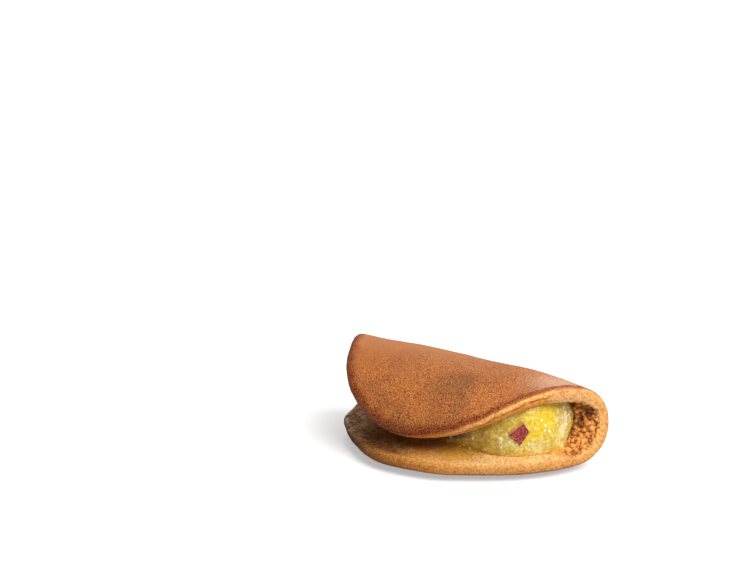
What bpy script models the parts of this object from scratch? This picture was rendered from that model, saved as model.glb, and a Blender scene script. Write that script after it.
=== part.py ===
"""Sweet potato dorayaki: one round griddle cake folded in half round sweet potato paste.

Units are metres. +X runs along the fold to the end that opens widest, the two lips open
towards -Y, and +Z is up. The origin is on the table, under the middle of the outer box.
"""
from math import pi, radians

import bmesh
import bpy
import numpy as np
from mathutils import Matrix, Vector

# The cake as it lies flat: its browned face is down and its crumb face is up
CAKE_RADIUS = 0.052
OVAL = 0.039                # wider across the fold by this share, and narrower along it
LOBE_COS = 0.0035           # three-sided unevenness of the rim, as shares of the radius
LOBE_SIN = -0.0155
RIM_SWELLS = (              # direction, spread and rise of single uneven places of the rim
    (radians(161), radians(9), 0.0016),
    (radians(105), radians(22), -0.0004),
    (radians(80), radians(15), -0.0011),
    (radians(-55), radians(16), -0.0012),
    (radians(-118), radians(10), -0.0008),
    (radians(-142), radians(7), 0.0012),
)
RIM_THICKNESS = 0.0048
CRUST_DOME = 0.0037         # rise of the browned face from the rim to the middle
CRUMB_DOME = 0.0020         # rise of the crumb face from the rim to the middle
ROUNDING_START = 0.960      # share of the radius where the rim starts to round off
ROUNDING_POWER = 2.2

# The fold, with each share counted at HALF_LENGTH from the middle of the spine
HALF_LENGTH = 0.050
FOLD_OFFSET = 0.0008        # the fold line, from the middle of the cake
BEND_LENGTH = 0.051         # cake taken up by the bend
BEND_TAPER = -0.140         # share that the bend is longer towards +X
TURN = radians(185.5)       # angle between the two halves
TURN_CHANGE = radians(-10.5)
CURL = 43.8                 # downward curl of the upper half in front of the bend, 1 / m
CURL_CHANGE = -3.3
SPINE_BOW = 0.0029          # both ends of the spine lie this far back
END_LIFT = 0.0026           # the -X end stands this much higher
END_LIFT_START = 0.010      # and starts to rise this far from the middle
REST_DEPTH = 0.0006         # the belly is pressed flat on the table over this height
SPINE_WAVE = 0.012          # the spine rises and dips along its length by this share of its height
SPINE_WAVE_LENGTH = 0.048
SPINE_WAVE_CREST = -0.019
LIP_PRESS = 0.30            # the lower lip's crumb is pressed down by this share at its rim
LIP_START = 0.78            # from this share of the radius outwards
LIP_WIDTH = 0.015           # and in full from this far in front of the fold line

# The paste
PASTE_GAP = 0.00045         # clearance from the crumb
PASTE_WIDEST = 0.016        # place along the fold where the paste comes furthest forward
PASTE_REACH = 0.0357        # and how far it comes from the fold line there
PASTE_RIGHT = 0.0390
PASTE_LEFT = -0.036
RIGHT_SQUARENESS = 4.0
LEFT_SQUARENESS = 1.7
FOOT_SPREAD = 0.0028        # on the lower half its right corner spreads this far outwards
FOOT_PLACE = 0.0185         # at this reach from the fold line
FOOT_WIDTH = 0.007
WALL_BULGE = 0.11           # the open face of the paste bellies out by this share of its height
WALL_FULLNESS = 0.75

# The cube of potato with its skin on, set in the open face of the paste
CUBE_ALONG = 0.0334         # place along the fold
CUBE_HEIGHT = 0.522         # share of the way down the open face
CUBE_TOP = (0.00150, 0.00395)   # its corners, sideways and up from its middle
CUBE_RIGHT = (0.00340, 0.00065)
CUBE_BOTTOM = (0.00005, -0.00435)
CUBE_LEFT = (-0.00365, 0.0)
CUBE_DEPTH = 0.0056
CUBE_PROUD = 0.0003
CUBE_BEVEL = 0.0004
POCKET_GAP = 0.0003

# How finely the shapes are divided
TURNING_STEPS = 84
STEP_CROWDING = 0.25        # draws the turning steps towards the ends of the spine
FACE_RINGS = 18
RING_CROWDING = 1.15        # draws the rings towards the middle of the cake
RIM_RINGS = (0.45, 0.75, 0.93)
BEND_SAMPLES = 64
PASTE_SECTIONS = 13         # on each side of its widest place
CONTACT_POINTS = 26
WALL_POINTS = 9

# Colours, linear
CRUST_BROWN = (0.45, 0.17, 0.060, 1.0)
PASTE_YELLOW = (0.62, 0.50, 0.070, 1.0)
SKIN_MAROON = (0.20, 0.025, 0.020, 1.0)


def remove_everything():
    for obj in list(bpy.data.objects):
        bpy.data.objects.remove(obj, do_unlink=True)


def new_collection(name):
    collection = bpy.data.collections.new(name)
    bpy.context.scene.collection.children.link(collection)
    return collection


def new_material(name, color, roughness):
    material = bpy.data.materials.new(name)
    material.use_nodes = True
    shader = material.node_tree.nodes["Principled BSDF"]
    shader.inputs["Base Color"].default_value = color
    shader.inputs["Roughness"].default_value = roughness
    shader.inputs["Metallic"].default_value = 0.0
    return material


def new_object(name, mesh, collection, material=None):
    obj = bpy.data.objects.new(name, mesh)
    collection.objects.link(obj)
    if material:
        mesh.materials.append(material)
    return obj


def rounding(share):
    """Share of the full thickness that is left, at a share of the radius."""
    past = np.clip((share - ROUNDING_START) / (1 - ROUNDING_START), 0, 1)
    return np.sqrt(1 - past ** ROUNDING_POWER)


def crust_height(share):
    return -(RIM_THICKNESS / 2 + CRUST_DOME * (1 - share ** 2)) * rounding(share)


def crumb_height(share):
    return (RIM_THICKNESS / 2 + CRUMB_DOME * (1 - share ** 2)) * rounding(share)


def rim_radius(angle):
    """Radius of the cake's outline; angle 0 is the +X end and 90 degrees the upper lip."""
    oval = -OVAL * np.cos(2 * angle)
    lobes = LOBE_COS * np.cos(3 * angle) + LOBE_SIN * np.sin(3 * angle)
    radius = CAKE_RADIUS * (1 + oval + lobes)
    for direction, spread, rise in RIM_SWELLS:
        apart = (angle - direction + pi) % (2 * pi) - pi
        radius = radius + rise * np.exp(-(apart / spread) ** 2)
    return radius


def heading(along, path):
    """Angle of the cake's middle surface above the table, at a path length past the fold line."""
    share = along / HALF_LENGTH
    bend = BEND_LENGTH * (1 + BEND_TAPER * share)
    turn = TURN + TURN_CHANGE * share
    place = np.clip(2 * path / bend, -1, 1)
    turned = 0.5 + 0.75 * (place - place ** 3 / 3)
    curl = (CURL + CURL_CHANGE * share) * np.clip(path - bend / 2, 0, None)
    return turn * turned + curl


def fold(along, across, height):
    """Carry points of the flat cake to where the folded cake has them."""
    share = along / HALF_LENGTH
    bend_start = -BEND_LENGTH * (1 + BEND_TAPER * share) / 2
    path = across - FOLD_OFFSET
    steps = (np.arange(BEND_SAMPLES) + 0.5) / BEND_SAMPLES
    sampled = bend_start[:, None] + (path - bend_start)[:, None] * steps
    angles = heading(along[:, None], sampled)
    middle_y = bend_start + (path - bend_start) * np.cos(angles).mean(axis=1)
    middle_z = (path - bend_start) * np.sin(angles).mean(axis=1)
    end_angle = heading(along, path)
    y = middle_y - height * np.sin(end_angle) + SPINE_BOW * share ** 2
    rise = np.clip((-along - END_LIFT_START) / (HALF_LENGTH - END_LIFT_START), 0, None)
    z = middle_z + height * np.cos(end_angle) + END_LIFT * rise ** 2
    wave = np.cos(2 * pi * (along - SPINE_WAVE_CREST) / SPINE_WAVE_LENGTH)
    return np.column_stack([along, y, z * (1 + SPINE_WAVE * wave)])


def ease(value, start, end):
    """Rise smoothly from 0 at start to 1 at end."""
    share = np.clip((value - start) / (end - start), 0, 1)
    return share * share * (3 - 2 * share)


def on_lower_lip(along, across):
    """How near a place is to the rim of the lower lip, from 0 to 1."""
    share = np.hypot(along, across) / rim_radius(np.arctan2(across, along))
    return ease(share, LIP_START, 1.0) * ease(-across, 0, LIP_WIDTH)


def cake_profile():
    """Half outline of the flat cake, from the middle of the crumb face down to the crust's."""
    faces = ROUNDING_START * np.linspace(0, 1, FACE_RINGS) ** RING_CROWDING
    rounded = ROUNDING_START + (1 - ROUNDING_START) * np.array(RIM_RINGS)
    shares = np.concatenate([faces, rounded])
    upper = np.column_stack([shares, crumb_height(shares)])
    lower = np.column_stack([shares, crust_height(shares)])[::-1]
    return np.vstack([upper, [[1.0, 0.0]], lower])


def make_pancake(collection):
    """The cake is turned as a flat disc, given its uneven rim, and folded vertex by vertex."""
    points = [(share * CAKE_RADIUS, 0, height) for share, height in cake_profile()]
    edges = [(i, i + 1) for i in range(len(points) - 1)]
    outline = bpy.data.meshes.new("flat_cake")
    outline.from_pydata(points, edges, [])
    flat = new_object("flat_cake", outline, collection)
    screw = flat.modifiers.new("turned", "SCREW")
    screw.steps = TURNING_STEPS
    screw.render_steps = TURNING_STEPS
    screw.use_merge_vertices = True
    screw.merge_threshold = 0.00001
    depsgraph = bpy.context.evaluated_depsgraph_get()
    mesh = bpy.data.meshes.new_from_object(flat.evaluated_get(depsgraph))
    bpy.data.objects.remove(flat, do_unlink=True)

    cake = bmesh.new()
    cake.from_mesh(mesh)
    bmesh.ops.remove_doubles(cake, verts=cake.verts, dist=0.00001)
    places = np.array([vertex.co for vertex in cake.verts])
    angle = np.arctan2(places[:, 1], places[:, 0])
    angle -= STEP_CROWDING * np.sin(2 * angle)
    radius = np.hypot(places[:, 0], places[:, 1]) * rim_radius(angle) / CAKE_RADIUS
    along, across = radius * np.cos(angle), radius * np.sin(angle)
    lip, height = on_lower_lip(along, across), places[:, 2]
    height = np.where(height > 0, height * (1 - LIP_PRESS * lip), height)
    folded = fold(along, across, height)
    table = folded[:, 2].min() + REST_DEPTH
    folded[:, 2] = np.maximum(folded[:, 2], table)
    for vertex, place in zip(cake.verts, folded):
        vertex.co = place
    bmesh.ops.triangulate(cake, faces=cake.faces)
    cake.to_mesh(mesh)
    cake.free()
    mesh.shade_smooth()
    pancake = new_object("pancake", mesh, collection, new_material("crust", CRUST_BROWN, 0.6))
    low, high = folded.min(axis=0), folded.max(axis=0)
    foot = Vector(((low[0] + high[0]) / 2, (low[1] + high[1]) / 2, table))
    return pancake, foot


def crumb_point(along, across):
    """Points on the crumb face, clear of it by the paste's gap."""
    share = np.hypot(along, across) / rim_radius(np.arctan2(across, along))
    return fold(along, across, crumb_height(share) + PASTE_GAP)


def paste_reach(along):
    """How far from the fold line the paste lies on either half, and which way its wall faces."""
    right = along > PASTE_WIDEST
    end = PASTE_RIGHT if right else PASTE_LEFT
    power = RIGHT_SQUARENESS if right else LEFT_SQUARENESS
    share = min(abs((along - PASTE_WIDEST) / (end - PASTE_WIDEST)), 1)
    reach = (1 - share ** power) ** (1 / power)
    slope_along = share ** (power - 1) / (end - PASTE_WIDEST)
    slope_across = -reach ** (power - 1) / PASTE_REACH
    outward = Vector((slope_along, slope_across, 0)).normalized()
    return PASTE_REACH * reach, outward


def foot_shift(along, reach):
    """How far the paste's front edge lies further right on the lower half than on the upper."""
    beside_foot = (reach - FOOT_PLACE) / FOOT_WIDTH
    return FOOT_SPREAD * np.exp(-beside_foot ** 2) * ease(along, PASTE_WIDEST, PASTE_RIGHT)


def wall_point(along, down):
    """A point on the open face of the paste, at a share of the way down from the upper half."""
    reach, outward = paste_reach(along)
    shifted = along + foot_shift(along, reach)
    ends = crumb_point(np.array([along, along, shifted]), np.array([reach, -reach, -reach]))
    top, bottom, corner = [Vector(end) for end in ends]
    belly = WALL_BULGE * (top - bottom).length * np.sin(pi * down) ** WALL_FULLNESS
    return top.lerp(bottom, down) + outward * belly + (corner - bottom) * down ** 3, outward


def paste_section(along):
    """Closed loop round the paste: over the crumb from front to back to front, then the wall."""
    reach, outward = paste_reach(along)
    across = np.linspace(-reach, reach, CONTACT_POINTS)
    below = ease(-across / reach, 0, 1)
    contact = crumb_point(along + foot_shift(along, reach) * below, across)
    wall = [wall_point(along, (i + 1) / (WALL_POINTS + 1))[0] for i in range(WALL_POINTS)]
    return [Vector(point) for point in contact] + wall


def loft(sections, first, last):
    """Skin over closed loops of equal length, brought to a point at each end."""
    shape = bmesh.new()
    rings = [[shape.verts.new(point) for point in section] for section in sections]
    start = shape.verts.new(first)
    end = shape.verts.new(last)
    count = len(rings[0])
    for i in range(count):
        after = (i + 1) % count
        shape.faces.new((start, rings[0][i], rings[0][after]))
        shape.faces.new((end, rings[-1][after], rings[-1][i]))
        for near, far in zip(rings, rings[1:]):
            shape.faces.new((near[i], far[i], far[after], near[after]))
    bmesh.ops.recalc_face_normals(shape, faces=shape.faces)
    mesh = bpy.data.meshes.new("loft")
    shape.to_mesh(mesh)
    shape.free()
    return mesh


def make_filling(collection, pocket):
    """Paste that lies against both halves of the cake and shows an open, bellied wall."""
    spread = 1 - (1 - np.arange(1, PASTE_SECTIONS + 1) / (PASTE_SECTIONS + 1)) ** 2
    to_left = PASTE_WIDEST + (PASTE_LEFT - PASTE_WIDEST) * spread
    to_right = PASTE_WIDEST + (PASTE_RIGHT - PASTE_WIDEST) * spread
    places = np.concatenate([to_left[::-1], [PASTE_WIDEST], to_right])
    ends = crumb_point(np.array([PASTE_LEFT, PASTE_RIGHT]), np.zeros(2))
    mesh = loft([paste_section(place) for place in places], ends[0], ends[1])
    filling = new_object("filling", mesh, collection, new_material("paste", PASTE_YELLOW, 0.35))
    cut = filling.modifiers.new("pocket", "BOOLEAN")
    cut.operation = "DIFFERENCE"
    cut.solver = "EXACT"
    cut.object = pocket
    return filling


def cube_mesh(name, gap):
    """A four-sided prism with its corners up, down and sideways, facing +Z."""
    shape = bmesh.new()
    corners = [Vector(corner) for corner in (CUBE_TOP, CUBE_LEFT, CUBE_BOTTOM, CUBE_RIGHT)]
    rings = []
    for height in (-CUBE_DEPTH / 2 - gap, CUBE_DEPTH / 2 + gap):
        spread = [corner + corner.normalized() * gap * 2 ** 0.5 for corner in corners]
        rings.append([shape.verts.new((*corner, height)) for corner in spread])
    for i in range(4):
        after = (i + 1) % 4
        shape.faces.new((rings[0][i], rings[0][after], rings[1][after], rings[1][i]))
    shape.faces.new(rings[1])
    shape.faces.new(rings[0][::-1])
    bmesh.ops.recalc_face_normals(shape, faces=shape.faces)
    mesh = bpy.data.meshes.new(name)
    shape.to_mesh(mesh)
    shape.free()
    return mesh


def set_in_wall(obj):
    """Turn a prism so that its face looks out of the paste, and sink it in."""
    place, outward = wall_point(CUBE_ALONG, CUBE_HEIGHT)
    sideways = Vector((0, 0, 1)).cross(outward)
    up = outward.cross(sideways)
    axes = Matrix((sideways, up, outward)).transposed().to_4x4()
    sunk = place + outward * (CUBE_PROUD - CUBE_DEPTH / 2)
    obj.matrix_world = Matrix.Translation(sunk) @ axes


def make_pocket(cutters):
    pocket = new_object("cube_pocket", cube_mesh("cube_pocket", POCKET_GAP), cutters)
    pocket.display_type = "WIRE"
    pocket.hide_render = True
    set_in_wall(pocket)
    return pocket


def make_skin_piece(collection):
    mesh = cube_mesh("skin_piece", 0.0)
    piece = new_object("skin_piece", mesh, collection, new_material("skin", SKIN_MAROON, 0.4))
    bevel = piece.modifiers.new("soft_edges", "BEVEL")
    bevel.width = CUBE_BEVEL
    bevel.segments = 2
    set_in_wall(piece)
    return piece


remove_everything()
parts = new_collection("sweet_potato_dorayaki")
cutters = new_collection("cutters")
pancake, foot = make_pancake(parts)
pocket = make_pocket(cutters)
filling = make_filling(parts, pocket)
skin_piece = make_skin_piece(parts)

# Everything stands on the table, with the middle of its outer box over the origin
stand = bpy.data.objects.new("stand", None)
parts.objects.link(stand)
for piece in (pancake, filling, skin_piece, pocket):
    piece.parent = stand
stand.location = -foot
bpy.context.view_layer.update()
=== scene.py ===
"""Sweet potato dorayaki: one round griddle cake folded round sweet potato paste.

Metres. +X runs along the fold to the end that opens widest, the lips open towards -Y, +Z is up.
"""

from math import cos, exp, pi, radians, sin

import bpy
import numpy as np
from mathutils import Matrix, Vector, noise


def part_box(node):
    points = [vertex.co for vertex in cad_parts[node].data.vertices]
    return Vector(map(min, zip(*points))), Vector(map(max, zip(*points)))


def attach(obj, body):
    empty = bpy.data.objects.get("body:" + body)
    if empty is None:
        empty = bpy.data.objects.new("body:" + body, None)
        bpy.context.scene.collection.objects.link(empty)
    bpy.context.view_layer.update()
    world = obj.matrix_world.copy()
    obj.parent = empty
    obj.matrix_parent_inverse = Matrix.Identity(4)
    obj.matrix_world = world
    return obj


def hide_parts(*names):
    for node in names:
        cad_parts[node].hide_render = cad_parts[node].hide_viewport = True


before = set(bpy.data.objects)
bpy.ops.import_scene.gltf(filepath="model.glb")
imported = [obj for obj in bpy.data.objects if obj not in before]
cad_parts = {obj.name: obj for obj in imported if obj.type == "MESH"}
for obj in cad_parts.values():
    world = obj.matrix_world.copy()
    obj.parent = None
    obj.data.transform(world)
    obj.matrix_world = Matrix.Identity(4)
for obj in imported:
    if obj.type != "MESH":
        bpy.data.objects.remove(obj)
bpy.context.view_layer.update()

# The griddle cake
# Sweet egg batter, poured in one round on a hot plate and folded over while it is still warm.
# The face that lay on the plate is browned, darkest in a ring inside its edge. The inner face
# is open crumb, which the fold squeezes into beads and cracks at both ends of the spine.
CAKE_RADIUS = 0.052
OVAL = 0.039
LOBE_COS = 0.0035
LOBE_SIN = -0.0155
RIM_SWELLS = (              # direction, spread and rise of single uneven places of the rim
    (radians(161), radians(9), 0.0016),
    (radians(105), radians(22), -0.0004),
    (radians(80), radians(15), -0.0011),
    (radians(-55), radians(16), -0.0012),
    (radians(-118), radians(10), -0.0008),
    (radians(-142), radians(7), 0.0012),
)
RIM_THICKNESS = 0.0048
CRUST_DOME = 0.0037
CRUMB_DOME = 0.0020
ROUNDING_START = 0.960
ROUNDING_POWER = 2.2
CRUST_EDGE_LEVEL = -0.634   # where the browned face ends, on the way round the rim
HALF_LENGTH = 0.050
FOLD_OFFSET = 0.0008
BEND_LENGTH = 0.051
BEND_TAPER = -0.140
TURN = radians(185.5)
TURN_CHANGE = radians(-10.5)
CURL = 43.8
CURL_CHANGE = -3.3
SPINE_BOW = 0.0029
END_LIFT = 0.0026
END_LIFT_START = 0.010
SPINE_WAVE = 0.012
SPINE_WAVE_LENGTH = 0.048
SPINE_WAVE_CREST = -0.019
REST_DEPTH = 0.0006
LIP_PRESS = 0.30            # the lower lip's crumb is pressed down by this share at its rim
LIP_START = 0.78
LIP_WIDTH = 0.015
BEND_SAMPLES = 64
FACE_CELLS = 96
RIM_CELLS = 12

# Relief of the cake: the size of each kind of lump and its height
SWELL_SIZE = 0.014
SWELL_HEIGHT = 0.00022
DIMPLE_SIZE = 0.005
DIMPLE_HEIGHT = 0.00008
PEEL_SIZE = 0.0013
PEEL_HEIGHT = 0.00005
CRUMB_SIZE = 0.0012
CRUMB_HEIGHT = 0.00010
PORE_SPACING = 0.0024
PORE_REACH = 0.33           # the share of its spacing that a pore reaches
PORE_CLUSTER = 0.006
PORE_DEPTH = 0.00030
GROOVE_PLACE = 0.0022       # below the crust's edge, half way down the side
GROOVE_WIDTH = 0.0005
GROOVE_DEPTH = 0.00060
GROOVE_WANDER = 0.0007
GROOVE_STRETCH = 0.005      # it wanders, deepens and fades in stretches of about this length
RIDGE_PLACE = 0.0011
RIDGE_HEIGHT = 0.00025
SIDE_FADE = 0.0006
SIDE_GRAIN = 0.0010
SIDE_ROUGHNESS = 0.00016
BEAD_SIZE = 0.00165
BEAD_HEIGHT = 0.00085
BEAD_LEVEL = 0.45           # the share of its height by which a bead stands sunk in the crumb
BEAD_SEED = 8
LARGE_REACH = 0.62
SMALL_REACH = 0.60
SMALL_RATIO = 1.9
SMALL_SHARE = 0.6
HOLLOW_DEPTH = 0.00080
HOLLOW_SPACING = 0.0026
HOLLOWS = (                 # place and radius of each deep hollow in the crumb
    ((0.0434, 0.0200, 0.0188), 0.0019),
    ((0.0458, 0.0205, 0.0184), 0.0020),
    ((0.0440, 0.0188, 0.0217), 0.0014),
    ((0.0403, 0.0180, 0.0215), 0.0016),
    ((0.0420, 0.0202, 0.0154), 0.0011),
    ((0.0423, 0.0197, 0.0134), 0.0011),
)


def deselect():
    bpy.ops.object.select_all(action="DESELECT")


def choose_faces(piece, chosen):
    """Leave the piece in edit mode with only these faces selected."""
    bpy.context.tool_settings.mesh_select_mode = (False, False, True)
    bpy.ops.object.mode_set(mode="EDIT")
    bpy.ops.mesh.select_all(action="DESELECT")
    bpy.ops.object.mode_set(mode="OBJECT")
    piece.data.polygons.foreach_set("select", chosen)
    bpy.ops.object.mode_set(mode="EDIT")


def read_vectors(items, name):
    """One row of three numbers for each vertex, face or normal."""
    values = np.empty(len(items) * 3)
    items.foreach_get(name, values)
    return values.reshape(-1, 3)


def move_vertices(piece, places):
    piece.data.vertices.foreach_set("co", places.ravel())
    piece.data.update()


def keep_values(piece, name, values):
    """Store one value for each vertex, for the material to read."""
    attribute = piece.data.attributes.new(name, "FLOAT", "POINT")
    attribute.data.foreach_set("value", values.astype(np.float32))


def ease(value, start, end):
    """Rise smoothly from 0 at start to 1 at end."""
    share = np.clip((value - start) / (end - start), 0, 1)
    return share * share * (3 - 2 * share)


def rim_radius(angle):
    lobes = LOBE_COS * np.cos(3 * angle) + LOBE_SIN * np.sin(3 * angle)
    radius = CAKE_RADIUS * (1 - OVAL * np.cos(2 * angle) + lobes)
    for direction, spread, rise in RIM_SWELLS:
        apart = (angle - direction + pi) % (2 * pi) - pi
        radius = radius + rise * np.exp(-(apart / spread) ** 2)
    return radius


def full_height(share, level):
    dome = np.where(level > 0, CRUMB_DOME, CRUST_DOME)
    return RIM_THICKNESS / 2 + dome * (1 - share ** 2)


def around_rim(level):
    """Share of the radius and of the thickness, from the crust at -1 over the rim to the crumb at 1."""
    past = np.cos(np.abs(level) * pi / 2).clip(0, 1) ** (2 / ROUNDING_POWER)
    return ROUNDING_START + (1 - ROUNDING_START) * past, np.sin(level * pi / 2)


def rim_lengths(level):
    """Length over the rim from the crust's edge to a level, towards the crumb."""
    levels = np.linspace(-1, 1, 161)
    share, part = around_rim(levels)
    height = full_height(share, levels) * part
    steps = np.hypot(np.diff(share) * CAKE_RADIUS, np.diff(height))
    lengths = np.concatenate([[0], np.cumsum(steps)])
    return np.interp(level, levels, lengths) - np.interp(CRUST_EDGE_LEVEL, levels, lengths)


def on_flat_cake(square):
    """Carry points of a square box, 2 wide and 2 high, to the flat cake.

    Gives along, across, height and how far inside the crust's edge each point lies."""
    u, v, level = square.T
    wide = np.abs(u) > np.abs(v)
    far, near = np.where(wide, u, v), np.where(wide, v, u)
    turned = pi / 4 * near / np.where(far == 0, 1, far)
    angle = np.where(wide, turned, pi / 2 - turned) + pi * (far < 0)
    rim_share, part = around_rim(level)
    share = np.abs(far) * ROUNDING_START + rim_share - ROUNDING_START
    radius = share * rim_radius(angle)
    inward = (1 - np.abs(far)) * ROUNDING_START * CAKE_RADIUS
    from_edge = inward * np.where(level > 0, -1, 1) - rim_lengths(level)
    height = full_height(share, level) * part
    return radius * np.cos(angle), radius * np.sin(angle), height, from_edge


def heading(along, path):
    """Angle of the cake's middle surface above the table, at a path length past the fold line."""
    share = along / HALF_LENGTH
    bend = BEND_LENGTH * (1 + BEND_TAPER * share)
    turn = TURN + TURN_CHANGE * share
    place = np.clip(2 * path / bend, -1, 1)
    turned = 0.5 + 0.75 * (place - place ** 3 / 3)
    curl = (CURL + CURL_CHANGE * share) * np.clip(path - bend / 2, 0, None)
    return turn * turned + curl


def fold(along, across, height):
    """Carry points of the flat cake to where the folded cake has them."""
    share = along / HALF_LENGTH
    bend_start = -BEND_LENGTH * (1 + BEND_TAPER * share) / 2
    path = across - FOLD_OFFSET
    steps = (np.arange(BEND_SAMPLES) + 0.5) / BEND_SAMPLES
    sampled = bend_start[:, None] + (path - bend_start)[:, None] * steps
    angles = heading(along[:, None], sampled)
    middle_y = bend_start + (path - bend_start) * np.cos(angles).mean(axis=1)
    middle_z = (path - bend_start) * np.sin(angles).mean(axis=1)
    end_angle = heading(along, path)
    y = middle_y - height * np.sin(end_angle) + SPINE_BOW * share ** 2
    rise = np.clip((-along - END_LIFT_START) / (HALF_LENGTH - END_LIFT_START), 0, None)
    z = middle_z + height * np.cos(end_angle) + END_LIFT * rise ** 2
    wave = np.cos(2 * pi * (along - SPINE_WAVE_CREST) / SPINE_WAVE_LENGTH)
    return np.column_stack([along, y, z * (1 + SPINE_WAVE * wave)])


# Two square sheets, one for each face, joined round their edges
deselect()
bpy.ops.mesh.primitive_grid_add(x_subdivisions=FACE_CELLS, y_subdivisions=FACE_CELLS, size=2,
                                location=(0, 0, 1))
cake = bpy.context.object
cake.name = "griddle_cake"
bpy.ops.object.transform_apply(location=True)
bpy.ops.object.mode_set(mode="EDIT")
bpy.ops.mesh.select_all(action="SELECT")
bpy.ops.mesh.duplicate()
bpy.ops.transform.translate(value=(0, 0, -2))
bpy.ops.mesh.flip_normals()
bpy.ops.mesh.select_all(action="SELECT")
bpy.ops.mesh.region_to_loop()
bpy.ops.mesh.bridge_edge_loops(number_cuts=RIM_CELLS - 1)
bpy.ops.mesh.select_all(action="SELECT")
bpy.ops.mesh.normals_make_consistent(inside=False)
bpy.ops.object.mode_set(mode="OBJECT")

# Finer cells where the cake shows, and the finest where the crumb is beaded
CRUST_BAND = 0.014
SHOWN_RADIUS = 0.037
BEADED_LENGTH = 0.0355
BEADED_DEPTH = 0.0034
BEADED_HALF_WIDTH = 0.0225
along, across, height, from_edge = on_flat_cake(read_vectors(cake.data.polygons, "center"))
crust_shows = (from_edge > -0.001) & (from_edge < CRUST_BAND)
crumb_shows = (from_edge < 0) & (np.hypot(along, across) > SHOWN_RADIUS)
choose_faces(cake, crust_shows | crumb_shows)
bpy.ops.mesh.subdivide(number_cuts=1)
bpy.ops.object.mode_set(mode="OBJECT")
for side, cuts in ((1, 2), (-1, 1)):
    along, across, height, from_edge = on_flat_cake(read_vectors(cake.data.polygons, "center"))
    at_end = (side * along > BEADED_LENGTH) & (np.abs(across) < BEADED_HALF_WIDTH)
    choose_faces(cake, at_end & (from_edge < -BEADED_DEPTH))
    bpy.ops.mesh.subdivide(number_cuts=cuts)
    bpy.ops.object.mode_set(mode="OBJECT")

# The flat cake is folded, pressed on the table and stood where the solid stands
along, across, height, from_edge = on_flat_cake(read_vectors(cake.data.vertices, "co"))
rim_share = np.hypot(along, across) / rim_radius(np.arctan2(across, along))
lip = ease(rim_share, LIP_START, 1.0) * ease(-across, 0, LIP_WIDTH)
height = np.where(height > 0, height * (1 - LIP_PRESS * lip), height)
folded = fold(along, across, height)
table = folded[:, 2].min() + REST_DEPTH
folded[:, 2] = np.maximum(folded[:, 2], table)
low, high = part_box("pancake")
middle = (folded.min(axis=0) + folded.max(axis=0)) / 2
foot = np.array([middle[0] - (low.x + high.x) / 2, middle[1] - (low.y + high.y) / 2, table])
folded -= foot
move_vertices(cake, folded)

# Relief of every part comes from noise, always the same by its seed
noise.seed_set(BEAD_SEED)


def lumps(place, size, shift=0.0):
    """Soft noise from -1 to 1 with lumps of a size. Each shift gives other lumps."""
    return noise.noise(place / size + Vector((shift, shift, shift)))


def crumb_relief(place):
    """Grain and open pores of the inner face."""
    grain = CRUMB_HEIGHT * (lumps(place, CRUMB_SIZE, 5.3) + 0.7 * lumps(place, 2 * CRUMB_SIZE, 2.2))
    near = noise.voronoi(place / PORE_SPACING)[0][0]
    open_part = max(lumps(place, PORE_CLUSTER, 9.1) + 0.3, 0)
    return grain - PORE_DEPTH * open_part * max(1 - near / PORE_REACH, 0) ** 0.5


def hollow_share(place):
    """How deep the crumb is hollowed among its beads, from 0 to 1."""
    depth = max(lumps(place, HOLLOW_SPACING, 6.1) - 0.25, 0)
    for centre, radius in HOLLOWS:
        apart = (place - Vector(centre)).length / radius
        depth += exp(-apart ** 2) * (0.9 + 1.6 * lumps(place, HOLLOW_SPACING / 2, 3.3))
    return min(max(depth, 0), 1)


def bead_top(spot, reach):
    """Height of the nearest round bead, from 0 at its reach to 1 at its middle."""
    return max(1 - (noise.voronoi(spot)[0][0] / reach) ** 2, 0) ** 0.5


def bead_relief(place):
    """Round beads of squeezed crumb, large and small."""
    spot = place / BEAD_SIZE + 0.3 * noise.noise_vector(place / (1.5 * BEAD_SIZE))
    top = max(bead_top(spot, LARGE_REACH), SMALL_SHARE * bead_top(spot * SMALL_RATIO, SMALL_REACH))
    return BEAD_HEIGHT * (top - BEAD_LEVEL + 0.3 * lumps(place, 0.002, 4.4))


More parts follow.
